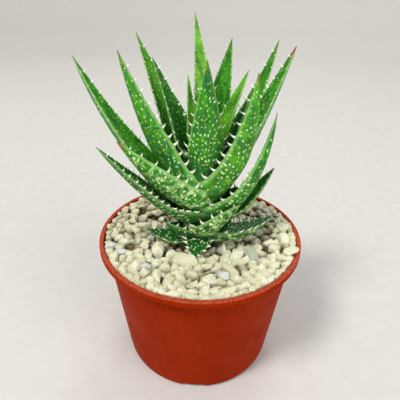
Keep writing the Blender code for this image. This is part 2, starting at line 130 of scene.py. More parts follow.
# The other stones, settled by a seeded rule: (how many, smallest and largest radius)
STONE_SEED = 11
RIM_STONES = (172, 1.9 * MM, 3 * MM)
RIM_RINGS = 2
RIM_RING_STEP = 3.2 * MM
LARGE_STONES = (130, 2.9 * MM, 3.9 * MM)
MIDDLE_STONES = (430, 2.1 * MM, 2.9 * MM)
SMALL_STONES = (420, 1.3 * MM, 2.1 * MM)
STONE_SCATTER = (12.0, 47.0)
STONE_FLOOR = 63 * MM
STEM_REACH = 9.6 * MM
HIDDEN_BELOW = 65.4 * MM
STONE_TOP = 71.8 * MM
RIM_STONE_TOP = 74 * MM
SLOPE_START = 22 * MM
SLOPE_END = 38 * MM
STONE_TOP_SWAY = 1.2 * MM
# Painted shade in the gaps between stones: a stone darkens from GAP_TOP down over GAP_DEPTH
GAP_TOP = 71.2 * MM
GAP_DEPTH = 2.5 * MM
SETTLING_ROUNDS = 480
PAIRING_ROUNDS = 8
PAIRING_SLACK = 1.5 * MM
SINK_STEP = 0.05 * MM
TOUCH_SHARE = 0.86
PUSH_SHARE = 0.35
LEAST_GAP = 0.01 * MM
# Shares of its radius by which a stone keeps off the floor, the tops, the stem and the wall
FLOOR_SHARE = 0.6
RIM_DEPTH_SHARES = (0.9, 1.3)
TOP_SHARE = 0.8
STEM_SHARE = 0.8
WALL_SHARE = 0.7
STONE_PLANES = 22
SMALL_STONE_PLANES = 14
STONE_CUTS = (0.8, 1.0)
STONE_WEAR = 0.2
STONE_LEAST_EDGE = 0.12
STONE_SHAPES = 40
STONE_STRETCH = ((1.05, 1.5), (0.82, 1.02), (0.66, 0.86))
STONE_LEAN = 22
STONE_SWELL = 0.14
STONE_SWELL_SCALE = 2.2
NOISE_REACH = 50
GREY_STONE_SHARE = 0.012
WHITE_STONE_SHARE = 0.012

# Leaves
MARGIN_THICKNESS = 0.75 * MM
LEAST_THICKNESS = 0.8 * MM
TIP_THICKNESS = 0.35 * MM
TIP_THINS_FROM = 0.9
WIDEST_AT = 0.28
ROOT_WIDTH_SHARE = 0.92
TAPER_POWER = 1.35
LOW_TAPER_POWER = 2.0
THINNING_POWER = 0.55
KEEL_POWER = 0.75
CHANNEL_SHARE = 0.34
SEAT_RISE = 1.2 * MM
SEAT_NARROWING = 0.8
SHEATH_SHARE = 0.6
SHEATH_CLASP = 108
CLASP_SHARE = 1.9
CLASP_TO = 0.17
SHEATH_DROP = 3.6 * MM
SHEATH_END = 0.1
WRAP_FROM = 0.03
WRAP_TO = 0.42
WRAP_MOST = 68
BASE_SPREAD = 0.45
SPREAD_TO = 0.34
ROOT_TAPER = 0.22
ROOT_TAPER_TO = 0.14
ROOT_CHANNEL = 0.25
ROOT_CHANNEL_TO = 0.24
# The share of each blade's length at its base that bears no spots and is darkened with painted
# shade
BARE_SHADED_BASE = 0.13
FRONT_LEAF = 22
FRONT_BARE_SHADED_BASE = 0.25
BASE_CUPPING = 0.2
SHEATH_LOWEST = 69 * MM
LEAF_STATIONS = 84
STATION_POWER = 0.92
UPPER_COLUMNS = 15
LOWER_COLUMNS = 19
MARGIN_BULGE = 0.28 * MM
MARGIN_WAVE = 0.16 * MM
MARGIN_FADE_WIDTH = 2 * MM
TOOTH_LENGTH = 3.3 * MM
TOOTH_BASE = 1.3 * MM
TOOTH_PITCH = 4.8 * MM
LOW_TOOTH_PITCH = 3.2 * MM
LOW_LEAF_HEIGHT = 86
TIP_TOOTH_SHARE = 0.36
YOUNG_LEAF_HEIGHT = 108
YOUNG_TOOTH_SHARE = 0.5
FEWEST_TEETH = 5
FIRST_TOOTH_AT = 0.16
LAST_TOOTH_AT = 0.93
TOOTH_SUNK = 0.5 * MM
TOOTH_HALF_BASE = 1 * MM
TOOTH_HALF_DEPTH = 0.42 * MM
TOOTH_TAPERS = (1.2, 0.9)
TOOTH_LENGTHS = (0.85, 1.12)
TOOTH_SHIFT = 0.12
TOOTH_LEANS = (0.3, 0.55)
TOOTH_BEND = (0.85, 0.05, 0.5)
TOOTH_BEND_AT = 0.6
TOOTH_POINT = (0.72, 0.62)
FLOW_STEP = 61
FLOW_TURN = 250
TOOTH_RINGS = 6
TOOTH_SIDES = 8

# One row for each leaf, from the lowest to the innermost: its form in degrees and millimetres, then
# how spotted, fresh a green and reddened at the tip it is (0 to 1). Tips are within 9 mm of the
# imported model's, widths within 7 mm and roots within 32 degrees round the stem
Leaf = namedtuple("Leaf", "azimuth height rise reach tip width thick roll spots fresh blush")
LEAVES = [Leaf(*row) for row in (
    (268, 74.5, -2, 0.4, (-3.4, -22.5, 71.8), 13, 3.6, 0, 0.9, 0, 0),
    (222, 72, 8, 0.4, (-28, -4, 76), 13, 3.6, 0, 0.9, 0, 0),
    (322, 75, 8, 0.45, (40, 8, 79), 15.5, 4.8, -16, 0.9, 0.05, 0),
    (50, 74, 5, 0.4, (19, 29, 80), 11.5, 3.8, 0, 0.5, 0.3, 0),
    (122, 74, 5, 0.4, (-20, 27, 79), 11.5, 3.8, 0, 0.5, 0.3, 0),
    (234, 77, 20, 0.45, (-18, -13, 87), 13, 3.6, 15, 0.6, 0.1, 0),
    (284, 79, 26, 0.5, (19, -12, 97), 18, 4.4, -30, 1, 0.2, 0.1),
    (160, 81, 15, 0.4, (-29, 8, 91), 12, 4.2, 0, 0.4, 0.3, 0),
    (350, 81, 34, 0.45, (35.5, 2, 110), 11, 4, 12, 0.5, 0.3, 0.1),
    (86, 81, 20, 0.4, (-2, 37, 98), 12, 4.4, 0, 0.5, 0.4, 0.1),
    (222, 84.5, 37, 0.42, (-43, -22.5, 128), 15, 4, -4, 0.84, 0.2, 0.1),
    (232, 92.5, 38, 0.42, (-34.6, -22, 130.3), 20, 4.8, 34, 1, 0.5, 0.9),
    (332, 87, 37, 0.46, (31, -9, 140), 14.5, 4.6, -14, 0.8, 0.45, 0.1),
    (120, 87.5, 31, 0.4, (-28, 26, 120), 12, 4.4, 0, 0.5, 0.4, 0.2),
    (53, 89.2, 32, 0.4, (26, 28, 118), 12, 4.4, 0, 0.5, 0.4, 0.2),
    (190, 93, 42, 0.46, (-54, -3, 160), 14, 5.6, -15, 0.6, 0.62, 0),
    (321, 97.5, 52, 0.52, (20.5, -16, 157), 14.5, 4.4, -20, 0.8, 0.7, 0.6),
    (352, 98, 64, 0.55, (37, -1, 165), 14.5, 4.2, 20, 0.75, 0.55, 1),
    (98, 96, 41, 0.4, (-1, 31, 134), 12, 4.4, 0, 0.5, 0.4, 0.3),
    (204, 99, 56, 0.43, (-34, -9, 163), 14.5, 4, 48, 0.6, 0.6, 0.4),
    (35, 101.5, 50, 0.48, (33, 15, 166), 13.5, 3.8, 20, 0.5, 0.6, 0.1),
    (279, 104, 80, 0.4, (1, -15, 161), 17.2, 3.8, 0, 0.84, 0.5, 0.2),
    # Leaf 23's fresh green also paints the light that falls on its inner face
    (143, 101.5, 66, 0.42, (-29.5, 9, 168), 13.5, 3.6, -40, 0.84, 0.75, 0.1),
    (112, 106, 66, 0.4, (-18, 13, 147), 9, 2.8, 0, 0.5, 0.35, 0),
    (353, 105.5, 63, 0.4, (21, 4, 146), 7.4, 2.8, 0, 0.4, 0.3, 0.1),
    (175, 106, 82, 0.42, (-22.5, 4, 159), 12, 3, -25, 0.6, 0.25, 0),
    (60, 109, 72, 0.4, (12.4, 19, 166), 15.5, 3.2, 15, 0.4, 0.6, 0.2),
    (87, 113.5, 87, 0.5, (-4.6, 13, 176), 9.2, 2.6, -15, 0.5, 1, 0),
    (350, 111, 78, 0.4, (19, 1, 155), 12, 2.6, 25, 0.5, 0.9, 0),
    (190, 113, 86, 0.4, (-7, 2, 152.5), 7.4, 2.4, 0, 0.2, 0.9, 0),
)]

# Colours: linear red, green and blue
# The dark green of older leaves and patches, also used as painted shade
DARK_LEAF_AND_SHADE = (0.006, 0.085, 0.012)
MID_LEAF = (0.026, 0.25, 0.008)
FRESH_LEAF = (0.15, 0.49, 0.015)
LIME_LEAF = (0.22, 0.57, 0.05)
LEAF_SPOT = (0.64, 0.83, 0.4)
LEAF_BLOTCH = (0.3, 0.52, 0.15)
BLUISH_LEAF = (0.02, 0.15, 0.06)
LEAF_MARGIN = (0.34, 0.62, 0.2)
FIBRE_PALE = (0.2, 0.44, 0.12)
TOOTH_WHITE = (0.9, 0.92, 0.8)
TOOTH_TIP = (0.62, 0.38, 0.26)
RED_TIP = (0.3, 0.06, 0.03)
TERRACOTTA = (0.29, 0.0195, 0.0007)
TERRACOTTA_DARK = (0.24, 0.014, 0.0005)
# Pale dust on the pot, which also paints the highlight along the lip's top
TERRACOTTA_DUST_AND_HIGHLIGHT = (0.55, 0.15, 0.085)
STONE_CREAM = (0.68, 0.655, 0.43)
STONE_PALE = (0.79, 0.775, 0.58)
STONE_WHITE = (0.69, 0.71, 0.69)
STONE_GREY = (0.46, 0.5, 0.4)
# Dirt in the stones' grain and pits, and the painted shade in the gaps between them
STONE_DIRT_AND_SHADE = (0.12, 0.075, 0.025)
DARK_MIX = (0.035, 0.022, 0.014)
LIGHT_MIX = (0.11, 0.07, 0.04)
STEM_BROWN = (0.1, 0.08, 0.03)
STEM_GREEN = (0.1, 0.22, 0.05)
FLOOR_PALE = (0.6, 0.585, 0.56)
FLOOR_SHADE = (0.58, 0.565, 0.54)
WORLD_LIGHT = (0.86, 0.88, 0.9, 1)
WORLD_STRENGTH = 0.58

# Finish: the height of each material's relief and its specular level
LEAF_RELIEF = 0.14 * MM
POT_RELIEF = 0.03 * MM
STONE_RELIEF = 0.6 * MM
MIX_RELIEF = 0.8 * MM
STEM_RELIEF = 0.3 * MM
FLOOR_RELIEF = 0.02 * MM
LEAF_GLOSS = 0.17
POT_GLOSS = 0.012
STONE_GLOSS = 0.3

# Room: the floor's outline as radius and height, and the lamps
FLOOR_SEGMENTS = 60
FLOOR_OUTLINE = ((0.2, 0), (1.4, 0), (1.75, 0.06), (2, 0.25), (2.15, 0.55), (2.2, 0.9), (2.2, 1.8))
Lamp = namedtuple("Lamp", "name place size power colour")
LAMPS = [Lamp(*row) for row in (
    ("key", (-0.95, -0.75, 1.75), 0.55, 31, (1, 0.99, 0.95)),
    ("fill", (1.3, -1.1, 1.1), 1.5, 16, (0.98, 0.99, 1)),
    ("back", (0.4, 1.5, 1.5), 1.1, 10, (1, 0.99, 0.97)),
)]
LIT_PLACE = (0, 0, 90 * MM)


def polar(azimuth, radius, height):
    angle = radians(azimuth)
    return Vector((radius * cos(angle), radius * sin(angle), height))


def smooth(share):
    share = min(1.0, max(0.0, share))
    return share * share * (3 - 2 * share)


def stem_radius(height):
    return float(np.interp(height, STEM_HEIGHTS, STEM_RADII))


def wall_radius(height):
    """Outer radius of the pot's straight tapering wall."""
    share = (height - HEEL_HEIGHT) / (POT_HEIGHT - LIP_HEIGHT - HEEL_HEIGHT)
    return HEEL_RADIUS + (RIM_RADIUS - LIP_OVERHANG - HEEL_RADIUS) * share


def inner_radius(height):
    return wall_radius(height) - POT_WALL


def stone_wall(height):
    """The bore that the stones lie in: the pot's wall, and the wider lip above it."""
    under_lip = POT_HEIGHT - LIP_HEIGHT
    wider = smooth((height - under_lip + LIP_ROUNDING) / (2 * LIP_ROUNDING))
    bore = inner_radius(min(height, under_lip))
    return bore * (1 - wider) + (RIM_RADIUS - LIP_WIDTH) * wider


# Materials

class Surface:
    """A material's node tree, with short calls for the nodes it needs."""

    def __init__(self, name):
        self.material = bpy.data.materials.new(name)
        self.material.use_nodes = True
        self.tree = self.material.node_tree
        self.shader = self.tree.nodes["Principled BSDF"]

    def add(self, kind, inputs=(), **settings):
        node = self.tree.nodes.new(kind)
        for name, value in settings.items():
            setattr(node, name, value)
        for name, value in dict(inputs).items():
            self.feed(node.inputs[name], value)
        return node

    def feed(self, socket, value):
        """Links an output to the socket, or sets the socket's own value."""
        if isinstance(value, bpy.types.NodeSocket):
            self.tree.links.new(value, socket)
        elif socket.type == "RGBA":
            socket.default_value = (*value, 1.0)
        else:
            socket.default_value = value

    def attribute(self, name, output="Fac"):
        return self.add("ShaderNodeAttribute", attribute_name=name).outputs[output]

    def place(self):
        return self.add("ShaderNodeTexCoord").outputs["Object"]

    def math(self, operation, first, second=0.0, clamp=False):
        inputs = {0: first, 1: second}
        return self.add("ShaderNodeMath", inputs, operation=operation, use_clamp=clamp).outputs[0]

    def times(self, first, second):
        return self.math("MULTIPLY", first, second)

    def vector(self, operation, first, second):
        inputs = {0: first, 1: second}
        return self.add("ShaderNodeVectorMath", inputs, operation=operation).outputs[0]

    def scaled(self, vector, factors):
        return self.vector("MULTIPLY", vector, factors)

    def ramp(self, value, low, high, to_low=0.0, to_high=1.0):
        """A smooth step from to_low at low to to_high at high."""
        names = ("Value", "From Min", "From Max", "To Min", "To Max")
        inputs = zip(names, (value, low, high, to_low, to_high))
        node = self.add("ShaderNodeMapRange", inputs, interpolation_type="SMOOTHSTEP")
        return node.outputs["Result"]

    def noise(self, vector, scale, detail=3.0, roughness=0.55):
        inputs = {"Vector": vector, "Scale": scale, "Detail": detail, "Roughness": roughness}
        return self.add("ShaderNodeTexNoise", inputs).outputs["Fac"]

    def cells(self, vector, scale, dimensions="3D", randomness=1.0):
        inputs = {"Vector": vector, "Scale": scale, "Randomness": randomness}
        node = self.add("ShaderNodeTexVoronoi", inputs, voronoi_dimensions=dimensions)
        return node.outputs["Distance"]

    def mix(self, share, first, second):
        node = self.add("ShaderNodeMix", data_type="RGBA")
        self.feed(node.inputs["Factor"], share)
        self.feed(node.inputs[6], first)
        self.feed(node.inputs[7], second)
        return node.outputs[2]

    def finish(self, colour, roughness, height, depth, **constants):
        """Feeds the shader; height is a 0 to 1 relief that stands depth metres high."""
        bump = self.add("ShaderNodeBump", {"Height": height, "Distance": depth, "Strength": 1.0})
        self.feed(self.shader.inputs["Base Color"], colour)
        self.feed(self.shader.inputs["Roughness"], roughness)
        self.feed(self.shader.inputs["Normal"], bump.outputs["Normal"])
        for name, value in constants.items():
            self.shader.inputs[name.replace("_", " ")].default_value = value
        return self.material


def leaf_material():
    """Flow is in millimetres across and down the blade, side from -1 to 1, the rest from 0 to 1."""
    skin = Surface("leaf_skin")
    flow = skin.attribute("flow", "Vector")
    along, side, outer, horn = map(skin.attribute, ("along", "side", "outer", "horn"))
    spotted, fresh, blush, bare_shaded = map(skin.attribute, ("spots", "fresh", "blush", "bare_shaded"))

    def lumps(across, down, detail, roughness=0.55):
        """Noise with this many lumps a millimetre across and down."""
        return skin.noise(skin.scaled(flow, (across, down, 1.0)), 1.0, detail, roughness)

    # Ground colour, with long streaks, clouds and bluish patches
    dark_to_mid = skin.mix(skin.ramp(fresh, 0.1, 0.5), DARK_LEAF_AND_SHADE, MID_LEAF)
    green = skin.mix(skin.ramp(fresh, 0.5, 1.0), dark_to_mid, FRESH_LEAF)
    green = skin.mix(skin.ramp(fresh, 0.9, 1.0), green, LIME_LEAF)
    broad = lumps(0.22, 0.1, 2.0)
    green = skin.mix(skin.ramp(broad, 0.4, 0.64, 0.0, 0.7), green, DARK_LEAF_AND_SHADE)
    young = skin.ramp(fresh, 0.0, 0.45, 0.25, 1.0)
    streak = lumps(2.2, 0.07, 3.0)
    streaked = skin.times(young, skin.ramp(streak, 0.48, 0.72, 0.0, 0.35))
    green = skin.mix(streaked, green, FRESH_LEAF)
    cloud = lumps(0.55, 0.3, 3.0, 0.6)
    clouded = skin.times(young, skin.ramp(cloud, 0.5, 0.7, 0.0, 0.65))
    green = skin.mix(clouded, green, FRESH_LEAF)
    patch = lumps(0.3, 0.24, 2.0)
    bluish = skin.times(outer, skin.ramp(patch, 0.5, 0.62, 0.0, 0.6))
    green = skin.mix(bluish, green, BLUISH_LEAF)

    # Painted shade on the inner face, deepest towards the base, and over the bare base
    inner = skin.math("SUBTRACT", 1.0, outer, clamp=True)
    at_root = skin.ramp(along, 0.05, 0.34, 1.0, 0.0)
    shaded = skin.times(inner, skin.ramp(at_root, 0.0, 1.0, 0.15, 0.7))
    past_bare_shaded = skin.math("DIVIDE", along, bare_shaded)
    shaded = skin.math("MAXIMUM", shaded, skin.ramp(past_bare_shaded, 0.7, 1.2, 0.65, 0.0))
    green = skin.mix(shaded, green, DARK_LEAF_AND_SHADE)

    # Pale blotches on the most spotted leaves
    blotch = lumps(0.34, 0.42, 3.0, 0.62)
    blotched = skin.times(skin.ramp(spotted, 0.84, 1.0, 0.08, 0.85), outer)
    blotched = skin.times(blotched, skin.ramp(blotch, 0.49, 0.57))
    green = skin.mix(blotched, green, LEAF_BLOTCH)

    # Spots, larger in loose bands across the blade
    band = lumps(0.08, 0.3, 1.0)
    plenty = skin.times(spotted, skin.ramp(along, 0.3, 1.0, 1.0, 0.6))
    plenty = skin.times(plenty, skin.ramp(outer, 0.0, 1.0, 0.7, 1.0))
    plenty = skin.times(plenty, skin.ramp(past_bare_shaded, 0.75, 1.15))
    reach = skin.times(plenty, skin.ramp(band, 0.34, 0.62, 0.19, 0.34))
    wander = skin.add("ShaderNodeTexNoise", {"Vector": flow, "Scale": 0.5, "Detail": 1.0})
    sway = skin.scaled(wander.outputs["Color"], (1.4, 1.8, 0.0))
    swayed = skin.vector("ADD", sway, flow)
    cell = skin.cells(skin.scaled(swayed, (0.6, 0.4, 1.0)), 1.0, "2D", 0.8)
    spot = skin.ramp(skin.math("SUBTRACT", cell, reach), -0.07, 0.05, 1.0, 0.0)
    green = skin.mix(skin.times(spot, 0.9), green, LEAF_SPOT)

    # Pale margins, and fibres that show where the blade leaves the stem
    edge = skin.ramp(skin.math("ABSOLUTE", side), 0.9, 1.0)
    pale_edge = skin.times(edge, skin.ramp(young, 0.2, 1.0, 0.25, 0.6))
    green = skin.mix(pale_edge, green, LEAF_MARGIN)
    fibre = lumps(0.1, 1.7, 3.0, 0.6)
    at_stem = skin.ramp(along, 0.06, 0.2, 0.65, 0.0)
    green = skin.mix(skin.times(at_stem, skin.ramp(fibre, 0.5, 0.62)), green, FIBRE_PALE)

    # Reddened tips and horny teeth
    reddened = skin.times(blush, skin.ramp(along, 0.9, 0.985))
    dry_tip = skin.ramp(along, 0.985, 1.0, 0.0, 0.7)
    green = skin.mix(skin.math("MAXIMUM", reddened, dry_tip), green, RED_TIP)
    tooth = skin.mix(skin.ramp(horn, 0.78, 1.0, 0.0, 0.6), TOOTH_WHITE, TOOTH_TIP)
    colour = skin.mix(skin.ramp(horn, 0.0, 0.16), green, tooth)

    roughness = skin.ramp(streak, 0.3, 0.8, 0.4, 0.55)
    relief = skin.math("ADD", skin.times(spot, 0.5), streak)
    return skin.finish(
        colour, roughness, relief, LEAF_RELIEF,
        Subsurface_Weight=0.12, Subsurface_Radius=(0.6, 1.0, 0.25), Subsurface_Scale=1.2 * MM,
        Specular_IOR_Level=LEAF_GLOSS,
    )


def pot_material():
    skin = Surface("pot_skin")
    place = skin.place()
    height = skin.add("ShaderNodeSeparateXYZ", {0: place}).outputs["Z"]
    mottle = skin.noise(place, 60.0, 4.0)
    colour = skin.mix(skin.ramp(mottle, 0.35, 0.7, 0.0, 0.6), TERRACOTTA, TERRACOTTA_DARK)
    flow_lines = skin.noise(skin.scaled(place, (1.0, 1.0, 0.05)), 420.0, 2.0)
    colour = skin.mix(skin.ramp(flow_lines, 0.5, 0.8, 0.0, 0.05), colour, TERRACOTTA_DUST_AND_HIGHLIGHT)
    dust = skin.noise(place, 900.0, 3.0)
    # The top of the lip is paler: dust, and a painted highlight along its rim
    at_lip = skin.ramp(height, POT_HEIGHT - 0.8 * MM, POT_HEIGHT - 0.1 * MM)
    dust_and_highlight = skin.times(at_lip, skin.ramp(dust, 0.35, 0.7, 0.1, 0.6))
    colour = skin.mix(dust_and_highlight, colour, TERRACOTTA_DUST_AND_HIGHLIGHT)
    specks = skin.ramp(skin.noise(place, 1500.0, 1.0), 0.72, 0.78, 0.0, 0.3)
    colour = skin.mix(specks, colour, TERRACOTTA_DUST_AND_HIGHLIGHT)
    roughness = skin.ramp(mottle, 0.3, 0.75, 0.42, 0.55)
    peel = skin.noise(place, 2200.0, 2.0)
    return skin.finish(colour, roughness, peel, POT_RELIEF, Specular_IOR_Level=POT_GLOSS)


def stone_material():
    skin = Surface("stone_skin")
    place = skin.place()
    tint, white, grey, gap_shade = map(skin.attribute, ("tint", "white", "grey", "gap_shade"))
    colour = skin.mix(tint, STONE_CREAM, STONE_PALE)
    cloud = skin.noise(place, 450.0, 4.0)
    colour = skin.mix(skin.ramp(cloud, 0.4, 0.75, 0.0, 0.4), colour, STONE_PALE)
    colour = skin.mix(white, colour, STONE_WHITE)
    colour = skin.mix(grey, colour, STONE_GREY)
    grain = skin.noise(place, 2600.0, 4.0, 0.7)
    colour = skin.mix(skin.ramp(grain, 0.56, 0.74, 0.0, 0.22), colour, STONE_DIRT_AND_SHADE)
    pits = skin.ramp(skin.noise(place, 1300.0, 3.0), 0.6, 0.7, 0.0, 0.32)
    colour = skin.mix(pits, colour, STONE_DIRT_AND_SHADE)
    # Painted shade on each stone's low side, in the gaps between stones
    colour = skin.mix(gap_shade, colour, STONE_DIRT_AND_SHADE)
    chips = skin.cells(place, 800.0)
    relief = skin.math("ADD", skin.times(cloud, 1.6), skin.times(grain, 0.5))
    relief = skin.math("ADD", relief, skin.times(chips, 0.5))
    roughness = skin.ramp(grain, 0.2, 0.8, 0.75, 0.95)
    return skin.finish(colour, roughness, relief, STONE_RELIEF, Specular_IOR_Level=STONE_GLOSS)


def mix_material():
    skin = Surface("potting_mix_skin")
    place = skin.place()
    crumbs = skin.cells(place, 520.0)
    fine = skin.noise(place, 1600.0, 4.0, 0.65)
    colour = skin.mix(skin.ramp(fine, 0.35, 0.75), DARK_MIX, LIGHT_MIX)
    relief = skin.math("SUBTRACT", fine, crumbs)
    return skin.finish(colour, skin.ramp(fine, 0.2, 0.8, 0.85, 1.0), relief, MIX_RELIEF)


def stem_material():
    skin = Surface("stem_skin")
    place = skin.place()
    fibre = skin.noise(skin.scaled(place, (1.0, 1.0, 0.12)), 900.0, 4.0)
    colour = skin.mix(skin.ramp(fibre, 0.35, 0.7), STEM_BROWN, STEM_GREEN)
    return skin.finish(colour, skin.ramp(fibre, 0.2, 0.8, 0.55, 0.8), fibre, STEM_RELIEF)


def floor_material():
    skin = Surface("floor_paint")
    grain = skin.noise(skin.place(), 90.0, 3.0)
    colour = skin.mix(skin.ramp(grain, 0.3, 0.7), FLOOR_PALE, FLOOR_SHADE)
    return skin.finish(colour, skin.ramp(grain, 0.3, 0.7, 0.6, 0.7), grain, FLOOR_RELIEF)


# Mesh helpers

def add_piece(name, corners, faces, material, nodes, attributes=(), flats=False):
    """A smooth-shaded mesh object that rides on the root and stands for these nodes.

    With flats, each broad face is shaded flat and the narrow ones beside it take the turn."""
    mesh = bpy.data.meshes.new(name)
    mesh.from_pydata([tuple(corner) for corner in corners], [], faces)
    for key, values in dict(attributes).items():
        vector = len(np.shape(values)) == 2
        layer = mesh.attributes.new(key, "FLOAT_VECTOR" if vector else "FLOAT", "POINT")
        layer.data.foreach_set("vector" if vector else "value", np.ravel(values).astype(np.float32))
    mesh.materials.append(material)
    mesh.shade_smooth()
    mesh.update()
    if flats:
        normals = flat_normals(np.array(corners), np.array(faces))
        mesh.normals_split_custom_set_from_vertices(normals)
    piece = bpy.data.objects.new(name, mesh)
    bpy.context.scene.collection.objects.link(piece)
    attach(piece, "root")
    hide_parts(*nodes)
    return piece


def flat_normals(corners, triangles):
    """A normal for each corner in which the larger triangles round it count for more."""
    first, second, third = (corners[triangles[:, i]] for i in range(3))
    facing = np.cross(second - first, third - first)
    area = np.linalg.norm(facing, axis=1, keepdims=True)
    normals = np.zeros_like(corners)
    for i in range(3):
        np.add.at(normals, triangles[:, i], facing * area)
    return normals / np.maximum(np.linalg.norm(normals, axis=1, keepdims=True), 1e-30)


def rounded(corner, before, after, radius):
    """Points of an arc that rounds this corner of an outline; all are (radius, height) pairs."""
    corner, before, after = Vector(corner), Vector(before), Vector(after)
    start = corner + (before - corner).normalized() * radius
    end = corner + (after - corner).normalized() * radius
    arc = []
    for step in range(ROUNDING_STEPS + 1):
        t = step / ROUNDING_STEPS
        arc.append(tuple(start * (1 - t) ** 2 + corner * 2 * t * (1 - t) + end * t ** 2))
    return arc


# Pot

def pot_outline():
    """The pot's section, from the middle of its underside round to its inner floor."""
    under_lip = POT_HEIGHT - LIP_HEIGHT
    lip_bore = RIM_RADIUS - LIP_WIDTH
    floor_radii = (0, ARCH_INNER_RADIUS - POT_WALL, DRAIN_INNER_RADIUS, DRAIN_OUTER_RADIUS)
    # Radius and height of each turn, and how far from it its rounding starts, in millimetres
    turns = [
        (FOOT_RADIUS, 0.0, 0.4),
        (HEEL_RADIUS - HEEL_INSET, HEEL_LIFT, 1.0),
        (HEEL_RADIUS, HEEL_HEIGHT, 2.2),
        (wall_radius(under_lip), under_lip, 0.35),
        (RIM_RADIUS, under_lip, 0.5),
        (RIM_RADIUS, POT_HEIGHT, 0.75),
        (lip_bore, POT_HEIGHT, 0.5),
        (lip_bore, under_lip + LIP_ROUNDING, 0.3),
        (inner_radius(under_lip - LIP_ROUNDING), under_lip - LIP_ROUNDING, 0.4),
        (inner_radius(HEEL_HEIGHT), HEEL_HEIGHT, 2.0),
        (FOOT_RADIUS + FLOOR_FLARE, POT_WALL + ARCH_LIFT / 4, 1.0),
        (FOOT_RADIUS - FLOOR_INSET, POT_WALL, 0.5),
    ]
    outline = [(radius, 0.0) for radius in floor_radii]
    fence = [outline[-1], *(turn[:2] for turn in turns), (DRAIN_OUTER_RADIUS, POT_WALL)]
    for index, (_, _, rounding) in enumerate(turns, 1):
        outline += rounded(fence[index], fence[index - 1], fence[index + 1], rounding * MM)
    return outline + [(radius, POT_WALL) for radius in reversed(floor_radii)]


def pot_angles():
    """Even angles round the pot, and a close pair at each edge of an arch or drain."""
    angles = [360 * i / POT_SEGMENTS for i in range(POT_SEGMENTS)]
    for arch in range(ARCH_COUNT):
        middle = ARCH_MIDDLE + 360 * arch / ARCH_COUNT
        for edge in (-ARCH_HALF_ANGLE, ARCH_HALF_ANGLE):
            angles += [middle + edge - ARCH_EDGE, middle + edge + ARCH_EDGE]
        angles += [middle - DRAIN_HALF_ANGLE, middle + DRAIN_HALF_ANGLE]
    return sorted({round(angle % 360, 3) for angle in angles})


def from_arch(angle):
    """Degrees from the middle of the nearest arch."""
    spacing = 360 / ARCH_COUNT
    return abs((angle - ARCH_MIDDLE + spacing / 2) % spacing - spacing / 2)


def raised_by_arch(angle, radius, height):
    """How far an arch lifts this place on the pot's underside or floor."""
    beside = radius <= ARCH_INNER_RADIUS or from_arch(angle) >= ARCH_HALF_ANGLE
    if beside or height >= POT_WALL + ARCH_LIFT:
        return 0.0
    return ARCH_LIFT - height if height < ARCH_LIFT / 2 else ARCH_LIFT / 2


def make_pot(material):
    outline = pot_outline()
    angles = pot_angles()
    bm = bmesh.new()
    rings = []
    for radius, height in outline:
        if radius == 0:
            rings.append([bm.verts.new((0, 0, height))] * len(angles))
            continue
        lifts = [raised_by_arch(angle, radius, height) for angle in angles]
        places = [polar(angle, radius, height + lift) for angle, lift in zip(angles, lifts)]
        rings.append([bm.verts.new(place) for place in places])
    drains = {DRAIN_INNER_RADIUS: [], DRAIN_OUTER_RADIUS: []}
    for (radius, _), ring in zip(outline, rings):
        if radius in drains:
            drains[radius].append(ring)
    drain_radii = [radius in drains for radius, _ in outline]
    for number, (lower, upper) in enumerate(zip(rings, rings[1:])):
        is_drain = drain_radii[number] and drain_radii[number + 1]
        for i, angle in enumerate(angles):
            j = (i + 1) % len(angles)
            middle = (angle + angles[j] + (360 if j == 0 else 0)) / 2
            if is_drain and from_arch(middle) < DRAIN_HALF_ANGLE:
                continue
            bm.faces.new(dict.fromkeys((lower[i], lower[j], upper[j], upper[i])))
    wall_drains(bm, angles, drains)
    bmesh.ops.recalc_face_normals(bm, faces=bm.faces)
    bm.verts.index_update()
    corners = [vertex.co.copy() for vertex in bm.verts]
    faces = [[vertex.index for vertex in face.verts] for face in bm.faces]
    bm.free()
    piece = add_piece("pot_shell", corners, faces, material, ["pot"])
    piece.data.set_sharp_from_angle(angle=radians(POT_SHARP_ANGLE))


def wall_drains(bm, angles, drains):
    """Walls round each slot through the floor."""
    (inner_low, inner_high), (outer_low, outer_high) = drains.values()
    inside = [from_arch(angle) <= DRAIN_HALF_ANGLE + ANGLE_SLACK for angle in angles]
    for i in range(len(angles)):
        j = (i + 1) % len(angles)
        if inside[i] and inside[j]:
            bm.faces.new((inner_low[i], inner_low[j], inner_high[j], inner_high[i]))
            bm.faces.new((outer_low[i], outer_low[j], outer_high[j], outer_high[i]))
        if inside[i] != inside[j]:
            k = i if inside[i] else j
            bm.faces.new((inner_low[k], outer_low[k], outer_high[k], inner_high[k]))


# Gravel

def stone_sizes(rng):
    """Radii to settle by; a named stone's is nearer to its breadth than to its length."""
    sizes = [[(stone.length + 3 * stone.breadth) / 8 * MM for stone in NAMED_STONES]]
    for count, least, most in (RIM_STONES, LARGE_STONES, MIDDLE_STONES, SMALL_STONES):
        sizes.append(rng.uniform(least, most, count))
    return np.concatenate(sizes)


def outwards(away):
    """How far up the bed's slope to the rim a place at this radius lies, from 0 to 1."""
    return np.clip((away - SLOPE_START) / (SLOPE_END - SLOPE_START), 0, 1)


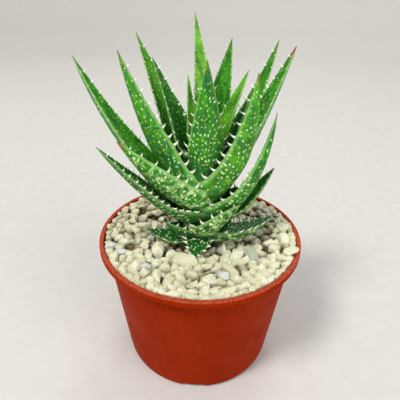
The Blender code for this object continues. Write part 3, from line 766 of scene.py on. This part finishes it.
def settle_stones(rng):
    """Centres and radii of stones pressed together between the wall, the stem and the mix."""
    radii = stone_sizes(rng)
    count = len(radii)
    named = np.array([(stone.x, stone.y, stone.z) for stone in NAMED_STONES]) * MM
    at_rim = slice(len(named), len(named) + RIM_STONES[0])
    nearest, farthest = STONE_SCATTER
    spread = np.sqrt(rng.uniform(nearest ** 2, farthest ** 2, count)) * MM
    angles = rng.uniform(0, 2 * pi, count)
    ring = np.arange(RIM_STONES[0]) % RIM_RINGS
    spread[at_rim] = stone_wall(POT_HEIGHT) - ring * RIM_RING_STEP
    angles[at_rim] = np.arange(RIM_STONES[0]) * 2 * pi / RIM_STONES[0]
    heights = rng.uniform(STONE_FLOOR, RIM_STONE_TOP, count)
    least = STONE_FLOOR + radii * FLOOR_SHARE
    least[at_rim] = RIM_STONE_TOP - radii[at_rim] * rng.uniform(*RIM_DEPTH_SHARES, RIM_STONES[0])
    places = np.column_stack((spread * np.cos(angles), spread * np.sin(angles), heights))
    sway = rng.uniform(-STONE_TOP_SWAY, STONE_TOP_SWAY / 3, count)
    for step in range(SETTLING_ROUNDS):
        if step % PAIRING_ROUNDS == 0:
            gaps = places[:, None, :] - places[None, :, :]
            apart = np.sqrt(np.einsum("ijk,ijk->ij", gaps, gaps))
            touching = (radii[:, None] + radii[None, :]) * TOUCH_SHARE
            one, other = np.nonzero(np.triu(apart < touching + PAIRING_SLACK, 1))
            touching = touching[one, other]
        gaps = places[one] - places[other]
        apart = np.maximum(np.linalg.norm(gaps, axis=1), LEAST_GAP)
        push = gaps * (PUSH_SHARE * np.clip(touching - apart, 0, None) / apart)[:, None]
        np.add.at(places, one, push)
        np.add.at(places, other, -push)
        places[:, 2] -= SINK_STEP
        away = np.hypot(places[:, 0], places[:, 1])
        top = STONE_TOP + (RIM_STONE_TOP - STONE_TOP) * outwards(away) + sway
        places[:, 2] = np.clip(places[:, 2], least, np.maximum(least, top - radii * TOP_SHARE))
        walls = np.array([stone_wall(height) for height in places[:, 2]])
        kept = np.clip(away, STEM_REACH + radii * STEM_SHARE, walls - radii * WALL_SHARE)
        places[:, :2] *= (kept / np.maximum(away, MM))[:, None]
        places[:len(named)] = named
    return places, radii


def broken_stone(rng, planes, segments):
    """Corners and triangles of a stone broken flat on many sides, its edges worn round."""
    bm = bmesh.new()
    bmesh.ops.create_cube(bm, size=2.0)
    for _ in range(planes):
        facing = Vector(rng.normal(size=3)).normalized()
        whole = bm.verts[:] + bm.edges[:] + bm.faces[:]
        at = facing * rng.uniform(*STONE_CUTS)
        cut = bmesh.ops.bisect_plane(bm, geom=whole, plane_co=at, plane_no=facing, clear_outer=True)
        rim = [item for item in cut["geom_cut"] if isinstance(item, bmesh.types.BMEdge)]
        if len(rim) > 2:
            bmesh.ops.contextual_create(bm, geom=rim)
    bmesh.ops.remove_doubles(bm, verts=bm.verts[:], dist=STONE_LEAST_EDGE)
    edges = bm.verts[:] + bm.edges[:]
    worn = {"offset": STONE_WEAR, "segments": segments, "profile": 0.5, "affect": "EDGES"}
    bmesh.ops.bevel(bm, geom=edges, clamp_overlap=True, **worn)
    bmesh.ops.triangulate(bm, faces=bm.faces[:])
    bmesh.ops.recalc_face_normals(bm, faces=bm.faces[:])
    bm.verts.index_update()
    corners = np.array([vertex.co for vertex in bm.verts])
    triangles = np.array([[vertex.index for vertex in face.verts] for face in bm.faces])
    bm.free()
    middle = (corners.max(axis=0) + corners.min(axis=0)) / 2
    corners = (corners - middle) / (corners.max(axis=0) - corners.min(axis=0)) * 2
    offset = Vector(rng.uniform(-NOISE_REACH, NOISE_REACH, 3))
    swell = [noise.noise(Vector(corner) * STONE_SWELL_SCALE + offset) for corner in corners]
    return corners * (1 + STONE_SWELL * np.array(swell))[:, None], triangles


def turned(half_sizes, turn, rise, roll):
    """The matrix that stretches a unit stone to these half sizes and then lays it."""
    lay = Matrix.Rotation(radians(turn), 3, "Z") @ Matrix.Rotation(-radians(rise), 3, "Y")
    return np.array(lay @ Matrix.Rotation(radians(roll), 3, "X")) @ np.diag(half_sizes)


def lay_stone(number, radius, rng):
    """How a stone is stretched and laid, and its kind."""
    if number < len(NAMED_STONES):
        stone = NAMED_STONES[number]
        sizes = (stone.length, stone.breadth, stone.breadth * NAMED_STONE_HEIGHT)
        roll = rng.uniform(-NAMED_STONE_ROLL, NAMED_STONE_ROLL)
        return turned(np.array(sizes) / 2 * MM, stone.turn, stone.rise, roll), stone.kind
    half_sizes = [rng.uniform(*limits) * radius for limits in STONE_STRETCH]
    lean = rng.normal(0, STONE_LEAN, 2)
    chance = rng.random()
    kind = "grey" if chance < GREY_STONE_SHARE else "cream"
    kind = "white" if GREY_STONE_SHARE < chance < GREY_STONE_SHARE + WHITE_STONE_SHARE else kind
    return turned(half_sizes, rng.uniform(0, 360), lean[0], lean[1]), kind


def keep_within(shape, over_lip):
    """Draws in any corner that would stand in the pot's wall or lip, or over it."""
    away = np.hypot(shape[:, 0], shape[:, 1])
    walls = np.array([stone_wall(height) for height in shape[:, 2]]) - SEAT_GAP
    walls = np.where(over_lip & (shape[:, 2] > POT_HEIGHT + SEAT_GAP), RIM_RADIUS, walls)
    shape[:, :2] *= np.minimum(1.0, walls / np.maximum(away, MM))[:, None]
    return shape


def make_gravel(material):
    rng = np.random.default_rng(STONE_SEED)
    places, radii = settle_stones(rng)
    # Each piece's stones: how many planes break them, and how many steps wear their edges
    plans = {
        "gravel_large": (STONE_PLANES, 2),
        "gravel_middle": (STONE_PLANES, 1),
        "gravel_small": (SMALL_STONE_PLANES, 1),
    }
    shapes = {}
    for name, plan in plans.items():
        shapes[name] = [broken_stone(rng, *plan) for _ in range(STONE_SHAPES)]
    gathered = {name: [] for name in plans}
    for number, (place, radius) in enumerate(zip(places, radii)):
        if place[2] < HIDDEN_BELOW:
            continue
        is_named = number < len(NAMED_STONES)
        name = "gravel_middle" if radius > SMALL_STONES[2] else "gravel_small"
        name = "gravel_large" if is_named or radius > MIDDLE_STONES[2] else name
        base, triangles = shapes[name][rng.integers(STONE_SHAPES)]
        stretch, kind = lay_stone(number, radius, rng)
        shape = keep_within(base @ stretch.T + place, is_named)
        gathered[name].append((shape, triangles, kind, rng.random()))
    ball, triangles = shapes["gravel_large"][0]
    grain = ball * PERLITE_RADIUS + PERLITE_PLACE
    gathered["gravel_small"].append((grain, triangles, "white", 1.0))
    for name, stones in gathered.items():
        corners, faces, looks, start = [], [], [], 0
        for shape, triangles, kind, tint in stones:
            one = np.ones(len(shape))
            # Painted shade: the lower a corner lies under the gap top, the darker it is painted
            uphill = outwards(np.hypot(shape[:, 0], shape[:, 1]))
            gap_top = GAP_TOP + (RIM_STONE_TOP - STONE_TOP) * uphill
            gap_shade = np.clip((gap_top - shape[:, 2]) / GAP_DEPTH, 0, 1)
            tint = 1.0 if kind == "pale" else tint
            kinds = (one * (kind == "white"), one * (kind == "grey"))
            looks.append(np.stack((one * tint, *kinds, gap_shade)))
            faces.append(triangles + start)
            corners.append(shape)
            start += len(shape)
        looks = dict(zip(("tint", "white", "grey", "gap_shade"), np.concatenate(looks, axis=1)))
        corners, faces = np.concatenate(corners), np.concatenate(faces).tolist()
        add_piece(name, corners, faces, material, ["gravel"], looks, flats=True)


# Leaves

class Blade:
    """The centre line and the cross-sections of one leaf, which clasps the stem at its base."""

    def __init__(self, leaf):
        self.leaf = leaf
        self.height = leaf.height * MM
        self.half_width = leaf.width * MM / 2
        self.thick = leaf.thick * MM
        rise = radians(leaf.rise)
        outward = polar(leaf.azimuth, 1, 0)
        start_radius = stem_radius(self.height) + SEAT_GAP + self.thick / 2 * sin(rise)
        self.start = polar(leaf.azimuth, start_radius, self.height)
        self.tip = Vector(leaf.tip) * MM
        chord = self.tip - self.start
        self.length = chord.length
        root_slope = outward * cos(rise) + Vector((0, 0, sin(rise)))
        self.knee = self.start + root_slope * leaf.reach * self.length
        flat = Vector((chord.x, chord.y, 0)).normalized()
        along = chord.normalized()
        self.inward = Vector((0, 0, 1)) * hypot(along.x, along.y) - flat * along.z

    def centre(self, t):
        return self.start * (1 - t) ** 2 + self.knee * 2 * t * (1 - t) + self.tip * t ** 2

    def frame(self, t):
        """Unit vectors across the blade, out of its inner face, and along it."""
        along = ((self.knee - self.start) * (1 - t) + (self.tip - self.knee) * t).normalized()
        across = self.inward.cross(along).normalized()
        out = along.cross(across)
        roll = radians(self.leaf.roll) * min(1.0, t / WIDEST_AT)
        return across * cos(roll) + out * sin(roll), out * cos(roll) - across * sin(roll), along

    def width_at(self, t):
        """Half the blade's width, which tapers later on the low leaves."""
        if t < WIDEST_AT:
            share = ROOT_WIDTH_SHARE + (1 - ROOT_WIDTH_SHARE) * sin(pi / 2 * t / WIDEST_AT)
        else:
            power = LOW_TAPER_POWER if self.leaf.height < LOW_LEAF_HEIGHT else TAPER_POWER
            share = 1 - ((t - WIDEST_AT) / (1 - WIDEST_AT)) ** power
        share *= 1 - ROOT_TAPER * (1 - smooth(t / ROOT_TAPER_TO))
        spread = 1 - smooth((t - WRAP_FROM) / (SPREAD_TO - WRAP_FROM))
        return self.half_width * share * (1 + BASE_SPREAD * spread)

    def wrapping(self, t):
        """How far the section at t is wrapped round the plant's axis, from 1 at the base to 0."""
        return 1 - smooth((t - WRAP_FROM) / (WRAP_TO - WRAP_FROM))

    def thickness_at(self, t):
        thick = max(LEAST_THICKNESS, self.thick * (1 - t) ** THINNING_POWER)
        pinch = smooth((t - TIP_THINS_FROM) / (1 - TIP_THINS_FROM))
        return thick + (TIP_THICKNESS - thick) * pinch

    def blade_point(self, t, u, upper, swell=0.0):
        """The place at share t of the length and u of the half width, on either face."""
        half, thick = self.width_at(t), self.thickness_at(t)
        wrapping = self.wrapping(t)
        channel = (CHANNEL_SHARE + BASE_CUPPING * wrapping) * half
        channel *= ROOT_CHANNEL + (1 - ROOT_CHANNEL) * smooth(t / ROOT_CHANNEL_TO)
        rim = thick / 2 + channel
        if upper:
            lift = thick / 2 + channel * u * u
        else:
            edge = rim - min(MARGIN_THICKNESS, thick)
            lift = edge - (edge + thick / 2) * (1 - u * u) ** KEEL_POWER
        across, out, _ = self.frame(t)
        middle = self.centre(t) + out * lift
        flat = middle + across * (half + swell * abs(u) ** 3) * u
        turn = min(half / hypot(middle.x, middle.y), radians(WRAP_MOST))
        turn += (radians(self.clasp_at(middle.z)) - turn) * (1 - smooth(t / CLASP_TO))
        wrapped = Matrix.Rotation(turn * u, 3, "Z") @ middle
        return flat.lerp(wrapped, wrapping)

    def root_point(self, u, upper):
        """The leaf's base is wrapped round the stem as a thin sheath."""
        rise = radians(self.leaf.rise)
        half_height = self.thick / 2 * cos(rise) + SEAT_RISE * sin(rise)
        drop = half_height + SHEATH_SHARE * self.thick * sin(rise) + SHEATH_DROP
        lift = half_height if upper else -drop
        height = max(SHEATH_LOWEST, self.height + lift * (1 - SEAT_NARROWING * u * u))
        clasp = self.clasp_at(height)
        return polar(self.leaf.azimuth + clasp * u, stem_radius(height) + SEAT_GAP / 3, height)

    def clasp_at(self, height):
        """How far the leaf's base reaches round the stem on each side, in degrees."""
        return min(SHEATH_CLASP, degrees(CLASP_SHARE * self.half_width / stem_radius(height)))

    def point(self, t, u, upper, swell=0.0):
        blade = self.blade_point(t, u, upper, swell)
        if t >= SHEATH_END:
            return blade
        return self.root_point(u, upper).lerp(blade, smooth(t / SHEATH_END))

    def margin_share(self, t):
        """How far the margin swells here: fully on the blade, not at the stem or the tip."""
        return min(1.0, self.width_at(t) / MARGIN_FADE_WIDTH) * smooth(t / SHEATH_END)

    def margin(self, t, side, swell=0.0):
        return (self.point(t, side, True, swell) + self.point(t, side, False, swell)) / 2


def tooth_places(blade):
    """Shares of the blade's length at the middle of each tooth."""
    pitch = LOW_TOOTH_PITCH if blade.leaf.height < LOW_LEAF_HEIGHT else TOOTH_PITCH
    count = max(FEWEST_TEETH, round(blade.length * (LAST_TOOTH_AT - FIRST_TOOTH_AT) / pitch))
    base = TOOTH_BASE / blade.length
    step = (LAST_TOOTH_AT - FIRST_TOOTH_AT - base) / (count - 1)
    return [FIRST_TOOTH_AT + i * step + base / 2 for i in range(count)]


class LeafMesh:
    """Gathers a leaf's corners and faces, with the numbers its material reads."""

    def __init__(self):
        self.corners, self.faces = [], []
        self.looks = {key: [] for key in ("along", "side", "outer", "horn", "flow")}

    def corner(self, place, along, side, outer, horn, flow):
        self.corners.append(place)
        for key, value in zip(self.looks, (along, side, outer, horn, flow)):
            self.looks[key].append(value)
        return len(self.corners) - 1

    def skin(self, rings):
        for first, second in zip(rings, rings[1:]):
            for i in range(len(first)):
                j = (i + 1) % len(first)
                face = list(dict.fromkeys((first[i], first[j], second[j], second[i])))
                self.faces.append(face)


def section_places(blade, t, swell):
    """(place, side, outer) round a closed section, from one margin over the inner face and back."""
    section = []
    for i in range(UPPER_COLUMNS):
        u = -cos(pi * i / (UPPER_COLUMNS - 1))
        section.append((blade.point(t, u, True, swell), u, 0.0))
    across, _, _ = blade.frame(t)
    bulge = MARGIN_BULGE * blade.margin_share(t)
    section.append((blade.margin(t, 1, swell) + across * bulge, 1.0, 0.5))
    for i in range(LOWER_COLUMNS):
        u = cos(pi * i / (LOWER_COLUMNS - 1))
        section.append((blade.point(t, u, False, swell), u, 1.0))
    section.append((blade.margin(t, -1, swell) - across * bulge, -1.0, 0.5))
    return section


def make_leaf(number, leaf, material):
    blade = Blade(leaf)
    draw = random.Random(number)
    teeth = tooth_places(blade)
    pitch = teeth[1] - teeth[0]
    mesh = LeafMesh()
    rings = []
    for station in range(LEAF_STATIONS):
        t = (station / LEAF_STATIONS) ** STATION_POWER
        swell = MARGIN_WAVE * cos(2 * pi * (t - teeth[0]) / pitch) * blade.margin_share(t)
        ring = []
        for place, side, outer in section_places(blade, t, swell):
            reach = side * blade.width_at(t) / MM + FLOW_STEP * number
            flow = (reach, t * blade.length / MM + FLOW_TURN * (outer > 0.5), 0)
            ring.append(mesh.corner(place, t, side, outer, 0.0, flow))
        rings.append(ring)
    apex = mesh.corner(blade.tip, 1.0, 0.0, 0.5, 0.0, (FLOW_STEP * number, blade.length / MM, 0))
    rings.append([apex] * len(rings[0]))
    mesh.skin(rings)
    mesh.faces.append(rings[0][::-1])
    for t in teeth:
        for side in (-1, 1):
            shift = draw.uniform(-TOOTH_SHIFT, TOOTH_SHIFT) * pitch
            add_tooth(mesh, blade, draw, t + shift, side, number)
    for key in ("spots", "fresh", "blush"):
        mesh.looks[key] = [getattr(leaf, key)] * len(mesh.corners)
    # The bare base bears no spots and carries painted shade
    bare_shaded = FRONT_BARE_SHADED_BASE if number == FRONT_LEAF else BARE_SHADED_BASE
    mesh.looks["bare_shaded"] = [bare_shaded] * len(mesh.corners)
    node = f"leaf_{number:02d}"
    name = f"{node}_fine"
    add_piece(name, mesh.corners, mesh.faces, material, [node], mesh.looks)


def add_tooth(mesh, blade, draw, t, side, number):
    """A curved horn with a broad base, bent towards the leaf's tip."""
    across, out, along = blade.frame(t)
    fullness = blade.width_at(t) / blade.half_width
    size = TIP_TOOTH_SHARE + (1 - TIP_TOOTH_SHARE) * fullness
    size *= YOUNG_TOOTH_SHARE if blade.leaf.height > YOUNG_LEAF_HEIGHT else 1.0
    length = TOOTH_LENGTH * size * draw.uniform(*TOOTH_LENGTHS) + TOOTH_SUNK
    start = blade.margin(t, side) - across * side * TOOTH_SUNK
    aside, ahead, inward = TOOTH_BEND
    bend = across * side * aside + along * ahead + out * inward
    bend = start + bend * length * TOOTH_BEND_AT
    lean = draw.uniform(*TOOTH_LEANS)
    aside, inward = TOOTH_POINT
    point = start + (across * side * aside + along * lean + out * inward) * length
    broadens, thickens = TOOTH_TAPERS
    rings = []
    flow = (side * blade.width_at(t) / MM + FLOW_STEP * number, t * blade.length / MM, 0)
    for step in range(TOOTH_RINGS):
        s = step / TOOTH_RINGS
        middle = start * (1 - s) ** 2 + bend * 2 * s * (1 - s) + point * s ** 2
        direction = ((bend - start) * (1 - s) + (point - bend) * s).normalized()
        forward = (along - direction * along.dot(direction)).normalized()
        sideways = direction.cross(forward)
        broad = TOOTH_HALF_BASE * size * (1 - s) ** broadens
        thin = TOOTH_HALF_DEPTH * size * (1 - s) ** thickens
        ring = []
        for i in range(TOOTH_SIDES):
            angle = 2 * pi * i / TOOTH_SIDES
            place = middle + forward * broad * cos(angle) + sideways * thin * sin(angle)
            ring.append(mesh.corner(place, t, side, 0.5, s, flow))
        rings.append(ring)
    rings.append([mesh.corner(point, t, side, 0.5, 1.0, flow)] * TOOTH_SIDES)
    if side > 0:
        rings = [ring[::-1] for ring in rings]
    mesh.skin(rings)
    mesh.faces.append(rings[0][::-1])


# Room

def add_lamp(lamp):
    """A round soft light that faces the plant."""
    light = bpy.data.lights.new(lamp.name, "AREA")
    light.shape = "DISK"
    light.size = lamp.size
    light.energy = lamp.power
    light.color = lamp.colour
    holder = bpy.data.objects.new(lamp.name, light)
    holder.location = lamp.place
    facing = Vector(LIT_PLACE) - Vector(lamp.place)
    holder.rotation_euler = facing.to_track_quat("-Z", "Y").to_euler()
    holder.visible_camera = False
    bpy.context.scene.collection.objects.link(holder)


def make_room():
    scene = bpy.context.scene
    mesh = bpy.data.meshes.new("floor")
    count = FLOOR_SEGMENTS
    corners = [(0, 0, 0)]
    for radius, height in FLOOR_OUTLINE:
        corners += [polar(360 / count * i, radius, height) for i in range(count)]
    turns = [(i, (i + 1) % count) for i in range(count)]
    faces = [(0, 1 + i, 1 + j) for i, j in turns]
    for low in range(1, len(corners) - count, count):
        high = low + count
        faces += [(low + i, high + i, high + j, low + j) for i, j in turns]
    mesh.from_pydata([tuple(corner) for corner in corners], [], faces)
    mesh.shade_smooth()
    mesh.materials.append(floor_material())
    ground = bpy.data.objects.new("floor", mesh)
    scene.collection.objects.link(ground)
    world = bpy.data.worlds.new("room")
    world.use_nodes = True
    background = world.node_tree.nodes["Background"]
    background.inputs["Color"].default_value = WORLD_LIGHT
    background.inputs["Strength"].default_value = WORLD_STRENGTH
    scene.world = world
    for lamp in LAMPS:
        add_lamp(lamp)
    scene.view_settings.view_transform = "Standard"


def make_camera():
    lens = bpy.data.cameras.new("camera")
    lens.sensor_width = SENSOR_WIDTH
    lens.lens = FOCAL_PIXELS / FRAME_PIXELS * SENSOR_WIDTH
    lens.clip_start = CAMERA_NEAR
    holder = bpy.data.objects.new("camera", lens)
    pitch = Matrix.Rotation(radians(CAMERA_PITCH), 4, "X")
    roll = Matrix.Rotation(radians(CAMERA_ROLL), 4, "Z")
    holder.matrix_world = Matrix.Translation(CAMERA_PLACE) @ pitch @ roll
    bpy.context.scene.collection.objects.link(holder)
    bpy.context.scene.camera = holder


def finish_node(node, material):
    """Gives a node that stays its own finish."""
    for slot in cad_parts[node].material_slots:
        slot.material = material


def main():
    make_camera()
    make_room()
    finish_node("potting_mix", mix_material())
    finish_node("stem", stem_material())
    make_pot(pot_material())
    make_gravel(stone_material())
    skin = leaf_material()
    for number, leaf in enumerate(LEAVES, 1):
        make_leaf(number, leaf, skin)


main()
